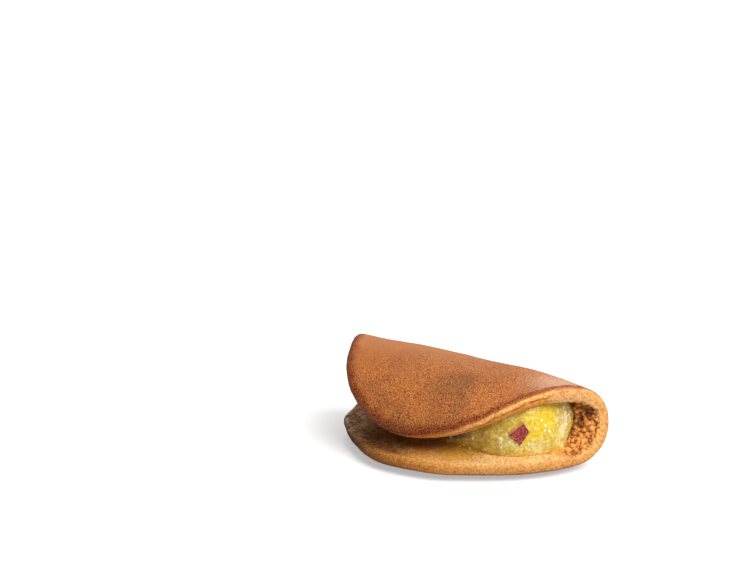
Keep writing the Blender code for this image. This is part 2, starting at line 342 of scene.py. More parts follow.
# Where each kind of relief begins and where it is full, on the flat cake
CRUST_BEGINS = (-0.0004, 0.0006)
GROOVE_BEGINS = (0.010, 0.028)
GROOVE_ENDS = (0.0395, 0.0440)
GROOVE_SIDE = (0.012, 0.020)
BEADS_BEGIN = (0.0345, 0.0385)
BEADS_INWARD = (0.0030, 0.0068)
BEADS_FADE = (0.019, 0.026)
crust = ease(from_edge, *CRUST_BEGINS)
crumb = 1 - crust
grooved = ease(along, *GROOVE_BEGINS) * ease(across, *GROOVE_SIDE) * (1 - ease(along, *GROOVE_ENDS))
squeezed = (ease(np.abs(along), *BEADS_BEGIN) * ease(-from_edge, *BEADS_INWARD)
            * (1 - ease(np.abs(across), *BEADS_FADE)))
relief = np.zeros(len(folded))
hollow = np.zeros(len(folded))
for i, place in enumerate(folded):
    place = Vector(place)
    relief[i] = SWELL_HEIGHT * lumps(place, SWELL_SIZE) + DIMPLE_HEIGHT * lumps(place, DIMPLE_SIZE, 3.1)
    relief[i] += crust[i] * PEEL_HEIGHT * lumps(place, PEEL_SIZE, 7.7)
    if crumb[i] > 0:
        below = from_edge[i] + GROOVE_WANDER * lumps(place, GROOVE_STRETCH, 2.8)
        deep = max(0.7 + lumps(place, GROOVE_STRETCH, 1.9), 0)
        groove = deep * exp(-((below + GROOVE_PLACE) / GROOVE_WIDTH) ** 2)
        ridge = exp(-((below + RIDGE_PLACE) / GROOVE_WIDTH) ** 2)
        rough = min(max((-below - GROOVE_PLACE) / SIDE_FADE, 0), 1) * lumps(place, SIDE_GRAIN, 6.6)
        relief[i] += grooved[i] * (RIDGE_HEIGHT * ridge - GROOVE_DEPTH * groove + SIDE_ROUGHNESS * rough)
        relief[i] += crumb[i] * (1 - squeezed[i]) * crumb_relief(place)
    if squeezed[i] > 0:
        hollow[i] = squeezed[i] * hollow_share(place)
        relief[i] += squeezed[i] * bead_relief(place) - HOLLOW_DEPTH * hollow[i]
folded += read_vectors(cake.data.vertex_normals, "vector") * relief[:, None]
folded[:, 2] = np.maximum(folded[:, 2], 0)
move_vertices(cake, folded)
for name, values in (("along", along), ("across", across), ("from_edge", from_edge), ("relief", relief),
                     ("squeezed", squeezed), ("hollow", hollow), ("grooved", grooved)):
    keep_values(cake, name, values)
bpy.ops.object.shade_smooth()


def shade(red, green, blue):
    """A display colour, 0 to 255, as the linear colour that the nodes take."""
    parts = [channel / 255 for channel in (red, green, blue)]
    linear = [c / 12.92 if c <= 0.04045 else ((c + 0.055) / 1.055) ** 2.4 for c in parts]
    return (*linear, 1.0)


def add_node(tree, kind, inputs=None, **settings):
    """A node with its settings, and with each input linked or set."""
    node = tree.nodes.new(kind)
    for name, value in settings.items():
        setattr(node, name, value)
    for socket, value in (inputs or {}).items():
        if isinstance(value, bpy.types.NodeSocket):
            tree.links.new(value, node.inputs[socket])
        else:
            node.inputs[socket].default_value = value
    return node


def blend_colors(tree, factor, first, second):
    node = add_node(tree, "ShaderNodeMix", {0: factor, 6: first, 7: second}, data_type="RGBA")
    return node.outputs[2]


def tint(tree, factor, tone, red, green, blue):
    """A tone with its three parts multiplied, at a share."""
    node = add_node(tree, "ShaderNodeMix", {0: factor, 6: tone, 7: (red, green, blue, 1.0)},
                    data_type="RGBA", blend_type="MULTIPLY")
    return node.outputs[2]


def blend_values(tree, factor, first, second):
    node = add_node(tree, "ShaderNodeMix", {0: factor, 2: first, 3: second})
    return node.outputs[0]


def work_out(tree, operation, first, second=0.0, third=0.0):
    node = add_node(tree, "ShaderNodeMath", {0: first, 1: second, 2: third}, operation=operation)
    return node.outputs[0]


def rise(tree, value, start, end, low=0.0, high=1.0):
    """A value eased from low at start to high at end."""
    node = add_node(tree, "ShaderNodeMapRange", interpolation_type="SMOOTHSTEP",
                    inputs={"Value": value, "From Min": start, "From Max": end,
                            "To Min": low, "To Max": high})
    return node.outputs["Result"]


def vertex_value(tree, name):
    return add_node(tree, "ShaderNodeAttribute", attribute_name=name).outputs["Fac"]


def noise_value(tree, place, size, detail=2.0, roughness=0.5):
    node = add_node(tree, "ShaderNodeTexNoise", {"Vector": place, "Scale": 1 / size, "Detail": detail,
                                                 "Roughness": roughness})
    return node.outputs["Fac"]


def new_material(name):
    material = bpy.data.materials.new(name)
    material.use_nodes = True
    tree = material.node_tree
    place = add_node(tree, "ShaderNodeTexCoord").outputs["Object"]
    return material, tree, tree.nodes["Principled BSDF"], place


def new_group(name, given, made):
    """An empty shader node group with named sockets, and its two end nodes."""
    group = bpy.data.node_groups.new(name, "ShaderNodeTree")
    for socket, kind in given.items():
        group.interface.new_socket(name=socket, in_out="INPUT", socket_type=kind)
    for socket in made:
        group.interface.new_socket(name=socket, in_out="OUTPUT", socket_type="NodeSocketFloat")
    return group, group.nodes.new("NodeGroupInput").outputs, group.nodes.new("NodeGroupOutput").inputs


# Fine grain: rounded cells broken up by noise, from 0 in the pores to 1 on the crests, and
# the few cells that stand out as single flecks
grain_group, given, made = new_group("grain", {"Place": "NodeSocketVector", "Size": "NodeSocketFloat"},
                                     ["Grain", "Fleck"])
scale = work_out(grain_group, "DIVIDE", 1.0, given["Size"])
fuzz = add_node(grain_group, "ShaderNodeTexNoise",
                {"Vector": given["Place"], "Detail": 2.0, "Roughness": 0.6,
                 "Scale": work_out(grain_group, "MULTIPLY", scale, 1.4)})
shift = add_node(grain_group, "ShaderNodeVectorMath", {0: fuzz.outputs["Color"], 1: given["Size"]},
                 operation="MULTIPLY").outputs["Vector"]
bent = add_node(grain_group, "ShaderNodeVectorMath", {0: given["Place"], 1: shift}).outputs["Vector"]
cells = add_node(grain_group, "ShaderNodeTexVoronoi", {"Vector": bent, "Scale": scale})
domes = work_out(grain_group, "MULTIPLY_ADD", cells.outputs["Distance"], -0.70, 0.64)
fuzzy = work_out(grain_group, "MULTIPLY_ADD", fuzz.outputs["Fac"], 0.4, domes)
grain_group.links.new(fuzzy, made["Grain"])
chosen = rise(grain_group, cells.outputs["Color"], 0.62, 0.68)
spots = rise(grain_group, cells.outputs["Distance"], 0.42, 0.20)
grain_group.links.new(work_out(grain_group, "MULTIPLY", chosen, spots), made["Fleck"])

# A soft patch round one place, with an uneven border, from 0 outside to 1 in its middle
patch_group, given, made = new_group("patch", {"Place": "NodeSocketVector", "Centre": "NodeSocketVector",
                                               "Radius": "NodeSocketFloat"}, ["Patch"])
reach = add_node(patch_group, "ShaderNodeVectorMath", {0: given["Place"], 1: given["Centre"]},
                 operation="DISTANCE").outputs["Value"]
ripple = add_node(patch_group, "ShaderNodeTexNoise",
                  {"Vector": given["Place"], "Detail": 3.0,
                   "Scale": work_out(patch_group, "DIVIDE", 2.0, given["Radius"])}).outputs["Fac"]
ragged = work_out(patch_group, "MULTIPLY_ADD", work_out(patch_group, "SUBTRACT", ripple, 0.5), 1.6,
                  work_out(patch_group, "DIVIDE", reach, given["Radius"]))
patch_group.links.new(rise(patch_group, ragged, 1.0, 0.35), made["Patch"])


def grain_values(tree, place, size):
    node = add_node(tree, "ShaderNodeGroup", node_tree=grain_group)
    tree.links.new(place, node.inputs["Place"])
    node.inputs["Size"].default_value = size
    return node.outputs["Grain"], node.outputs["Fleck"]


def patch_value(tree, place, centre, radius):
    node = add_node(tree, "ShaderNodeGroup", node_tree=patch_group)
    tree.links.new(place, node.inputs["Place"])
    node.inputs["Centre"].default_value = centre
    node.inputs["Radius"].default_value = radius
    return node.outputs["Patch"]


def share_of(tree, mask, share):
    return work_out(tree, "MULTIPLY", mask, share)


def overlap(tree, *masks):
    """The masks multiplied, so it is high only where all of them are."""
    shared = masks[0]
    for mask in masks[1:]:
        shared = work_out(tree, "MULTIPLY", shared, mask)
    return shared


# Baked batter: browned crust with its dark ring, golden side, and crumb
CRUST_GRAIN = 0.00042
CRUMB_GRAIN = 0.0008
RING_WIDE = 0.0046          # the ring's width in front, and at the right end
RING_NARROW = 0.0026
DULL_PLACE = (0.0106, -0.0099, 0.0296)
DULL_RADIUS = 0.012
STAIN_PLACE = (0.0156, -0.0136, 0.0081)
STAIN_RADIUS = 0.009
CRUST_BROWN = shade(184, 108, 53)
CRUST_DULL = shade(146, 88, 45)
# Painted sheen on the crust near the spine
CRUST_PAINTED_SHEEN = shade(202, 141, 98)
# Painted pink glare at the far right end of the crust
CRUST_PAINTED_GLARE = shade(214, 168, 138)
CRUST_PORE = shade(112, 50, 18)
CRUST_CREST = shade(234, 168, 104)
RING_DARK = shade(98, 34, 8)
RING_LIGHT = shade(184, 98, 48)
EDGE_AMBER = shade(176, 80, 24)
EDGE_DARK = shade(54, 26, 10)
SIDE_GOLD = shade(208, 130, 50)
# Painted highlight on the side's ridge, painted shade on its lower part and in its groove
SIDE_RIDGE_HIGHLIGHT = shade(244, 184, 106)
SIDE_LOW_SHADE = shade(220, 146, 66)
SIDE_GROOVE_SHADE = shade(172, 92, 32)
CRUMB_GOLD = shade(218, 156, 80)
CRUMB_PALE = shade(238, 195, 128)
CRUMB_LIGHT = shade(250, 214, 160)
CRUMB_PORE = shade(184, 106, 44)
# Painted light on the beads: a highlight on their crests, shade between them and in their hollows
CRUMB_CREST_HIGHLIGHT = shade(252, 204, 140)
CRUMB_BEAD = shade(236, 156, 72)
CRUMB_GAP_SHADE = shade(152, 78, 26)
CRUMB_HOLLOW_SHADE = shade(72, 32, 12)
# Painted shade on the left of the lower half, in the next five tones
CRUMB_SHADE_BROWN = shade(150, 100, 52)
CRUMB_SHADE_DARK = shade(108, 66, 30)
CRUMB_SHADE_SOFT = shade(160, 116, 68)
CRUMB_SHADE_GREY = shade(200, 164, 126)
CRUMB_SHADE_HAZE = shade(244, 222, 200)
STAIN_YELLOW = shade(212, 160, 60)

baked, tree, surface, place = new_material("baked_batter")
inside_edge = vertex_value(tree, "from_edge")
over = vertex_value(tree, "across")
beside = vertex_value(tree, "along")
wander = work_out(tree, "SUBTRACT", noise_value(tree, place, 0.004, 3.0), 0.5)
wrapped = work_out(tree, "ADD", inside_edge, rise(tree, beside, 0.018, -0.018, 0.0, 0.0014))
edge = work_out(tree, "MULTIPLY_ADD", wander, 0.0012, wrapped)
ring_edge = work_out(tree, "MULTIPLY_ADD", wander, 0.0040, inside_edge)
on_crust = rise(tree, edge, -0.0003, 0.0003)
ring_out = rise(tree, beside, 0.006, 0.030, RING_WIDE, RING_NARROW)
ring = overlap(tree, rise(tree, edge, 0.0, 0.0007), rise(tree, ring_edge, ring_out, 0.0010))
grain = grain_values(tree, place, CRUST_GRAIN)[0]
crumb_grain, crumb_fleck = grain_values(tree, place, CRUMB_GRAIN)

# Painted sheen: the crust is paled towards the spine, in place of the soft reflection of the light there
pale = rise(tree, over, 0.032, 0.016)
contrast = rise(tree, work_out(tree, "MULTIPLY_ADD", beside, 0.5, over), 0.008, 0.032, 0.28, 0.95)
uneven = rise(tree, noise_value(tree, place, 0.005, 2.0), 0.34, 0.62, 0.72, 1.10)
broad = noise_value(tree, place, 0.014, 3.0)
tone = blend_colors(tree, rise(tree, broad, 0.62, 0.34, 0.0, 0.5), CRUST_BROWN, CRUST_DULL)
tone = blend_colors(tree, share_of(tree, pale, 0.5), tone, CRUST_PAINTED_SHEEN)
# Painted reflection: a pale pink glare on the crust at the far right end, where its grain is also calmer
far_end_glare = overlap(tree, rise(tree, beside, 0.026, 0.042), rise(tree, over, 0.034, 0.022),
                  rise(tree, over, -0.012, 0.010))
contrast = overlap(tree, contrast, uneven, rise(tree, far_end_glare, 0.0, 1.0, 1.0, 0.6))
tone = blend_colors(tree, far_end_glare, tone, CRUST_PAINTED_GLARE)
tone = blend_colors(tree, patch_value(tree, place, DULL_PLACE, DULL_RADIUS), tone, CRUST_DULL)
pores = overlap(tree, rise(tree, grain, 0.50, 0.34), contrast)
crests = overlap(tree, rise(tree, grain, 0.56, 0.72), contrast)
tone = blend_colors(tree, share_of(tree, pores, 0.8), tone, CRUST_PORE)
tone = blend_colors(tree, share_of(tree, crests, 0.7), tone, CRUST_CREST)
# Painted light: the crust is lightened on the upper half's front slope towards the lip, standing in for
# the light it gets there
tone = tint(tree, rise(tree, over, 0.028, 0.040), tone, 1.16, 1.14, 1.12)
ring_tone = blend_colors(tree, rise(tree, grain, 0.45, 0.64), RING_DARK, RING_LIGHT)
crust_tone = blend_colors(tree, share_of(tree, ring, 0.92), tone, ring_tone)

rightwards = rise(tree, beside, 0.004, 0.034)
tone = blend_colors(tree, rightwards, CRUMB_GOLD, CRUMB_PALE)
light_end = overlap(tree, rise(tree, beside, 0.030, 0.044), rise(tree, over, 0.002, 0.018))
tone = blend_colors(tree, share_of(tree, light_end, 0.7), tone, CRUMB_LIGHT)
tone = blend_colors(tree, rise(tree, edge, -0.0052, -0.0030, 0.0, 0.6), tone, SIDE_GOLD)
grooved_part = vertex_value(tree, "grooved")
mottled = noise_value(tree, place, 0.003, 3.0)
# Painted light on the grooved side: a pale painted highlight along the ridge under the crust's edge, and
# painted shade on the side below it
side_light_and_shade = blend_colors(tree, rise(tree, edge, -0.0026, -0.0018), SIDE_LOW_SHADE, SIDE_RIDGE_HIGHLIGHT)
tone = blend_colors(tree, grooved_part, tone, side_light_and_shade)
# Painted shade along the groove, in broken stretches
from_groove = work_out(tree, "ABSOLUTE", work_out(tree, "ADD", edge, GROOVE_PLACE))
groove_shade = overlap(tree, rise(tree, from_groove, 0.0005, 0.0001), grooved_part,
                  rise(tree, mottled, 0.34, 0.50))
tone = blend_colors(tree, share_of(tree, groove_shade, 0.9), tone, SIDE_GROOVE_SHADE)
tone = blend_colors(tree, rise(tree, broad, 0.50, 0.70, 0.0, 0.25), tone, CRUMB_PORE)

# Painted shade: the lower half darkens to the left, where the upper half shades it: brown, dark inside,
# with a greyish haze
lower = rise(tree, over, -0.018, -0.028)
left_shade = overlap(tree, rise(tree, beside, 0.018, -0.024), lower)
tone = blend_colors(tree, left_shade, tone, CRUMB_SHADE_BROWN)
leaning = work_out(tree, "MULTIPLY_ADD", beside, 0.12, edge)
inner = overlap(tree, rise(tree, leaning, -0.0042, -0.0062), rise(tree, beside, 0.006, -0.006))
shaded = work_out(tree, "MAXIMUM", inner, rise(tree, beside, -0.014, -0.024))
painted_shade = overlap(tree, shaded, rise(tree, edge, -0.0170, -0.0120), lower)
painted_shade_tone = blend_colors(tree, rise(tree, edge, -0.0070, -0.0120), CRUMB_SHADE_DARK, CRUMB_SHADE_SOFT)
tone = blend_colors(tree, share_of(tree, painted_shade, 0.88), tone, painted_shade_tone)
shade_grey = overlap(tree, rise(tree, beside, -0.016, -0.030), rise(tree, edge, -0.0012, -0.0045), lower)
tone = blend_colors(tree, share_of(tree, shade_grey, 0.85), tone, CRUMB_SHADE_GREY)
shade_haze = overlap(tree, shade_grey, rise(tree, beside, -0.022, -0.038), rise(tree, mottled, 0.42, 0.62))
tone = blend_colors(tree, shade_haze, tone, CRUMB_SHADE_HAZE)
shade_blotch = rise(tree, noise_value(tree, place, 0.0017, 3.0), 0.56, 0.40)
tone = tint(tree, overlap(tree, painted_shade, shade_blotch), tone, 0.62, 0.56, 0.50)
stain = patch_value(tree, place, STAIN_PLACE, STAIN_RADIUS)
tone = blend_colors(tree, share_of(tree, stain, 0.8), tone, STAIN_YELLOW)
tone = tint(tree, rise(tree, crumb_grain, 0.52, 0.34), tone, 0.80, 0.67, 0.50)
tone = tint(tree, rise(tree, crumb_grain, 0.54, 0.74), tone, 1.08, 1.18, 1.32)
tone = tint(tree, share_of(tree, crumb_fleck, 0.4), tone, 0.50, 0.36, 0.22)
leftwards = rise(tree, beside, 0.024, -0.004)
tone = tint(tree, overlap(tree, rise(tree, grain, 0.50, 0.36), leftwards), tone, 0.78, 0.67, 0.50)
tone = tint(tree, overlap(tree, rise(tree, grain, 0.54, 0.70), leftwards), tone, 1.32, 1.44, 1.60)

# Painted light on the beads: golden on top with a painted highlight on the crests, painted shade brown
# between them and nearly black in the hollows, and a painted shadow in a band by the paste's right tip
sunk = vertex_value(tree, "relief")
hollow_shade = rise(tree, vertex_value(tree, "hollow"), 0.2, 0.8, 0.0, 0.7)
bead_tone = blend_colors(tree, rise(tree, sunk, 0.0002, -0.0003), CRUMB_BEAD, CRUMB_GAP_SHADE)
bead_tone = blend_colors(tree, rise(tree, sunk, 0.0002, 0.0006, 0.0, 0.6), bead_tone, CRUMB_CREST_HIGHLIGHT)
bead_tone = blend_colors(tree, rise(tree, sunk, -0.0006, -0.0012), bead_tone, CRUMB_HOLLOW_SHADE)
bead_tone = blend_colors(tree, hollow_shade, bead_tone, CRUMB_HOLLOW_SHADE)
paste_edge_shadow = overlap(tree, rise(tree, beside, 0.0410, 0.0398), rise(tree, beside, 0.034, 0.036))
bead_tone = blend_colors(tree, share_of(tree, paste_edge_shadow, 0.8), bead_tone, CRUMB_HOLLOW_SHADE)
crumb_tone = blend_colors(tree, share_of(tree, vertex_value(tree, "squeezed"), 0.9), tone, bead_tone)
baked_tone = blend_colors(tree, on_crust, crumb_tone, crust_tone)
# A thin amber line where the crust meets the crumb, darker towards the left end
amber = rise(tree, work_out(tree, "ABSOLUTE", edge), 0.0005, 0.0001)
edge_tone = blend_colors(tree, rise(tree, beside, 0.006, -0.020), EDGE_AMBER, EDGE_DARK)
baked_tone = blend_colors(tree, share_of(tree, amber, 0.65), baked_tone, edge_tone)
tree.links.new(baked_tone, surface.inputs["Base Color"])
crumb_gloss = blend_values(tree, vertex_value(tree, "squeezed"), 0.8, 0.45)
tree.links.new(blend_values(tree, on_crust, crumb_gloss, 0.55), surface.inputs["Roughness"])
surface.inputs["Specular IOR Level"].default_value = 0.18
depth = blend_values(tree, on_crust, share_of(tree, crumb_grain, 1.6), overlap(tree, grain, contrast))
bump = add_node(tree, "ShaderNodeBump", {"Height": depth, "Distance": 0.0002, "Strength": 0.9})
tree.links.new(bump.outputs["Normal"], surface.inputs["Normal"])
cake.data.materials.append(baked)
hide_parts("pancake")
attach(cake, "root")

# The sweet potato paste
# Steamed sweet potato mashed with sugar while hot, spooned on the crumb before the cake is
# folded. It lies against both halves and shows as one glossy, lumpy wall between the lips.
PASTE_WIDEST = 0.016
PASTE_REACH = 0.0357
PASTE_RIGHT = 0.0390
PASTE_LEFT = -0.036
RIGHT_SQUARENESS = 4.0
LEFT_SQUARENESS = 1.7
FOOT_SPREAD = 0.0028        # on the lower half its right corner spreads this far outwards
FOOT_PLACE = 0.0185         # at this reach from the fold line
FOOT_WIDTH = 0.007
PASTE_SINK = 0.0005         # the paste is pressed this far into the crumb
WALL_BULGE = 0.11
WALL_FULLNESS = 0.75
WALL_SHARE = 0.60           # of the points round each section
PASTE_RINGS = 480
PASTE_SEGMENTS = 200

# The cube's four corners in the face of the paste, sideways and up from its middle
CUBE_ALONG = 0.0334
CUBE_HEIGHT = 0.522
CUBE_DEPTH = 0.0056
CUBE_PROUD = 0.0005
CUBE_TOP = (0.00150, 0.00395)
CUBE_RIGHT = (0.00340, 0.00065)
CUBE_BOTTOM = (0.00005, -0.00435)
CUBE_LEFT = (-0.00365, 0.0)
CUBE_REACH = 0.0037


def crumb_point(along, across):
    """Points just under the crumb face."""
    share = np.hypot(along, across) / rim_radius(np.arctan2(across, along))
    return fold(along, across, full_height(share, 1.0) - PASTE_SINK) - foot


def paste_outline(turn):
    """The paste's front edge on either half of the cake, from the right tip at 0 to the left at pi.

    Gives the place along the fold, the reach from the fold line, and which way the wall faces."""
    right = turn < pi / 2
    end = np.where(right, PASTE_RIGHT, PASTE_LEFT) - PASTE_WIDEST
    power = np.where(right, RIGHT_SQUARENESS, LEFT_SQUARENESS)
    run = np.abs(np.cos(turn)).clip(1e-9, 1)
    climb = np.sin(turn).clip(1e-9, 1)
    slope = 2 - 2 / power
    outward = np.column_stack([run ** slope / end, -climb ** slope / PASTE_REACH, 0 * turn])
    outward /= np.linalg.norm(outward, axis=1)[:, None]
    return PASTE_WIDEST + end * run ** (2 / power), PASTE_REACH * climb ** (2 / power), outward


def foot_shift(along, reach):
    """How far the paste's front edge lies further right on the lower half than on the upper."""
    beside_foot = (reach - FOOT_PLACE) / FOOT_WIDTH
    return FOOT_SPREAD * np.exp(-beside_foot ** 2) * ease(along, PASTE_WIDEST, PASTE_RIGHT)


def wall_point(turn, down):
    """Points on the open face of the paste, at a share of the way down from the upper half."""
    along, reach, outward = paste_outline(turn)
    top = crumb_point(along, reach)
    bottom = crumb_point(along, -reach)
    spread = crumb_point(along + foot_shift(along, reach), -reach) - bottom
    chord = np.linalg.norm(top - bottom, axis=1)
    belly = WALL_BULGE * chord * np.sin(pi * down).clip(0, 1) ** WALL_FULLNESS
    straight = top + (bottom - top) * down[:, None]
    return straight + outward * belly[:, None] + spread * down[:, None] ** 3, outward


def even_turns(share):
    """Turns that space the rings evenly along the outline, closer on the right where it shows."""
    turns = pi * ease(np.linspace(0, 1, 4001), 0, 1)
    along, reach, outward = paste_outline(turns)
    steps = np.hypot(np.diff(along), np.diff(reach)) * np.where(along[1:] > 0, 1.6, 1.0)
    lengths = np.concatenate([[0], np.cumsum(steps)])
    return np.interp(share * lengths[-1], lengths, turns)


def turn_at(along):
    """The turn on the right side of the outline that lies at a place along the fold."""
    run = (along - PASTE_WIDEST) / (PASTE_RIGHT - PASTE_WIDEST)
    return np.arccos(run ** (RIGHT_SQUARENESS / 2))


# A ball whose poles become the paste's two tips
deselect()
bpy.ops.mesh.primitive_uv_sphere_add(segments=PASTE_SEGMENTS, ring_count=PASTE_RINGS, radius=1)
paste = bpy.context.object
paste.name = "potato_paste"
ball = read_vectors(paste.data.vertices, "co")
turn = even_turns(np.arccos(ball[:, 2].clip(-1, 1)) / pi)
around = np.arctan2(ball[:, 1], ball[:, 0]) / (2 * pi) % 1
down = ((around - (1 - WALL_SHARE)) / WALL_SHARE).clip(0, 1)
along, reach, outward = paste_outline(turn)
across = reach * (2 * (around / (1 - WALL_SHARE)).clip(0, 1) - 1)
on_wall = around > 1 - WALL_SHARE
below = ease(-across / reach.clip(1e-9, 1), 0, 1)
lying = crumb_point(along + foot_shift(along, reach) * below, across)
places = np.where(on_wall[:, None], wall_point(turn, down)[0], lying)
move_vertices(paste, places)
bpy.ops.object.mode_set(mode="EDIT")
bpy.ops.mesh.select_all(action="SELECT")
bpy.ops.mesh.normals_make_consistent(inside=False)
bpy.ops.object.mode_set(mode="OBJECT")

# The mash: soft lumps with crumbly pieces and grains in them, pressed back round the cube
MASH_LUMP = 0.0048
MASH_LUMP_HEIGHT = 0.00032
MASH_PIECE = 0.0025
MASH_PIECE_HEIGHT = 0.00024
MASH_CRUMB = 0.0011
MASH_CRUMB_HEIGHT = 0.00017
MASH_FIBRE = 0.0006
MASH_FIBRE_HEIGHT = 0.00006
MASH_BEND = 0.0006          # pieces and crumbs are pushed this far out of shape
MASH_BEND_SIZE = 0.002
MASH_REACH = 0.75
MASH_LEVEL = 0.4            # the share of its height by which a piece stands sunk in the mash
PRESS_RING = 0.9            # round the cube, as a share of its half width
PRESS_WIDTH = 0.35
PRESS_DEPTH = 0.0004
NICK_PLACE = Vector((0.0397, 0.0137, 0.0091))
NICK_WIDTH = 0.0011
NICK_DEPTH = 0.0009
cube_turn = turn_at(CUBE_ALONG)
cube_place, cube_outward = wall_point(np.array([cube_turn]), np.array([CUBE_HEIGHT]))
cube_place, cube_outward = Vector(cube_place[0]), Vector(cube_outward[0])
cube_sideways = Vector((0, 0, 1)).cross(cube_outward)
cube_up = cube_outward.cross(cube_sideways)


def piece_top(place, size):
    """How far the nearest crumbly piece of a size stands out, as a share of its height."""
    return 1 - MASH_LEVEL - min(noise.voronoi(place / size)[0][0] / MASH_REACH, 1.0) ** 2


def mash_relief(place):
    """Soft lumps, crumbly pieces, crumbs and fibres of the mash, and one nick at its right edge."""
    bent = place + MASH_BEND * noise.noise_vector(place / MASH_BEND_SIZE)
    pieces = MASH_PIECE_HEIGHT * piece_top(bent, MASH_PIECE)
    crumbs = MASH_CRUMB_HEIGHT * piece_top(bent, MASH_CRUMB)
    fibres = MASH_FIBRE_HEIGHT * lumps(place, MASH_FIBRE, 8.8)
    nick = NICK_DEPTH * exp(-((place - NICK_PLACE).length / NICK_WIDTH) ** 2)
    return MASH_LUMP_HEIGHT * lumps(place, MASH_LUMP, 1.3) + pieces + crumbs + fibres - nick


def near_cube(place):
    """How far a place lies from the cube's middle, as a share of its half width."""
    offset = place - cube_place
    return (abs(offset.dot(cube_sideways)) + abs(offset.dot(cube_up))) / CUBE_REACH


mash = np.zeros(len(places))
strength = np.where(on_wall, np.sin(pi * down).clip(0, 1) ** 0.4, 0)
for i in np.flatnonzero(on_wall):
    place = Vector(places[i])
    apart = near_cube(place) - PRESS_RING
    calm = min(max(apart, 0.15), 1.0)
    pressed = PRESS_DEPTH * max(1 - abs(apart) / PRESS_WIDTH, 0)
    mash[i] = strength[i] * (calm * mash_relief(place) - pressed)
places += read_vectors(paste.data.vertex_normals, "vector") * mash[:, None]
move_vertices(paste, places)
keep_values(paste, "mash", mash)
keep_values(paste, "down", np.where(on_wall, down, 0))
bpy.ops.object.shade_smooth()

# Mashed sweet potato: yellow, with pale wet lumps, olive in its thin left part
PASTE_GRAIN = 0.0009
SPARKLE_SPACING = 0.0014
PASTE_OLIVE = (shade(182, 146, 26), shade(206, 174, 68))
PASTE_OCHRE = (shade(202, 168, 44), shade(228, 202, 112))
PASTE_YELLOW = (shade(220, 184, 0), shade(232, 204, 16))
PASTE_PALE = (shade(210, 184, 84), shade(242, 226, 180))
# Painted shade in the mash's hollows
PASTE_HOLLOW_SHADE = shade(176, 136, 20)
PASTE_AMBER = shade(232, 160, 48)
# Painted white glints
PASTE_GLINT_WHITE = shade(255, 252, 234)
YELLOW_SPOTS = (((0.0386, 0.0039, 0.0218), 0.0095), ((0.0376, -0.0005, 0.0144), 0.0065))
PALE_SPOTS = (((0.0409, 0.0131, 0.0189), 0.0065), ((0.0304, -0.0074, 0.0121), 0.0034),
              ((0.0380, 0.0000, 0.0095), 0.0050), ((0.0405, 0.0110, 0.0120), 0.0050))

mashed, tree, surface, place = new_material("mashed_sweet_potato")
grain = grain_values(tree, place, PASTE_GRAIN)[0]
sparkle = grain_values(tree, place, SPARKLE_SPACING)[1]
along = add_node(tree, "ShaderNodeSeparateXYZ", {"Vector": place}).outputs["X"]
cloud = work_out(tree, "SUBTRACT", noise_value(tree, place, 0.005, 3.0, 0.6), 0.5)
lumpy = noise_value(tree, place, 0.0021, 2.0, 0.6)
speckled = work_out(tree, "ADD", share_of(tree, grain, 0.45), share_of(tree, lumpy, 0.55))
rightwards = work_out(tree, "MULTIPLY_ADD", cloud, 0.020, along)
ochre = rise(tree, rightwards, 0.020, 0.034)
low_tone, high_tone = [blend_colors(tree, ochre, PASTE_OLIVE[k], PASTE_OCHRE[k]) for k in (0, 1)]
for spots, spot_tones in ((YELLOW_SPOTS, PASTE_YELLOW), (PALE_SPOTS, PASTE_PALE)):
    for centre, radius in spots:
        spot = share_of(tree, patch_value(tree, place, centre, radius), 0.9)
        low_tone = blend_colors(tree, spot, low_tone, spot_tones[0])
        high_tone = blend_colors(tree, spot, high_tone, spot_tones[1])
tone = blend_colors(tree, rise(tree, speckled, 0.44, 0.60), low_tone, high_tone)
# Painted shade: the mash is darkened where its relief sinks
mash_hollow_shade = rise(tree, vertex_value(tree, "mash"), 0.0, -0.0005, 0.0, 0.4)
tone = blend_colors(tree, mash_hollow_shade, tone, PASTE_HOLLOW_SHADE)
lowness = vertex_value(tree, "down")
tone = blend_colors(tree, rise(tree, lowness, 0.95, 0.985, 0.0, 0.7), tone, PASTE_AMBER)
# Painted shadow: the thin left part of the paste is darkened high up, just under the upper lip
leaning = work_out(tree, "MULTIPLY_ADD", along, 19.0, lowness)
lip_shadow = overlap(tree, rise(tree, leaning, 1.06, 0.99), rise(tree, along, 0.020, 0.014),
                 rise(tree, along, 0.000, 0.006))
tone = tint(tree, lip_shadow, tone, 0.26, 0.17, 0.10)
# Painted highlights: small white glints on the mash, fading out towards its left part
painted_glints = overlap(tree, sparkle, rise(tree, cloud, -0.06, 0.02), rise(tree, along, 0.000, 0.014))
tone = blend_colors(tree, painted_glints, tone, PASTE_GLINT_WHITE)
tree.links.new(tone, surface.inputs["Base Color"])
surface.inputs["Roughness"].default_value = 0.35
surface.inputs["Subsurface Weight"].default_value = 0.20
surface.inputs["Subsurface Radius"].default_value = (0.0020, 0.0014, 0.0004)
surface.inputs["Subsurface Scale"].default_value = 1.0
surface.inputs["Coat Weight"].default_value = 0.4
surface.inputs["Coat Roughness"].default_value = 0.12
bump = add_node(tree, "ShaderNodeBump", {"Height": speckled, "Distance": 0.0002, "Strength": 1.0})
tree.links.new(bump.outputs["Normal"], surface.inputs["Normal"])
paste.data.materials.append(mashed)
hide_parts("filling")
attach(paste, "root")

# The cube of sweet potato
# A small cut cube of steamed sweet potato with its maroon skin on, pressed into the open face
# of the paste so that the skin looks out, one corner up.
CUBE_BEVEL = 0.0004
CUBE_CELL = 0.00015
SKIN_WAVE = 0.0013
SKIN_WAVE_HEIGHT = 0.00012
SKIN_PIMPLE = 0.0005
SKIN_PIMPLE_HEIGHT = 0.00005

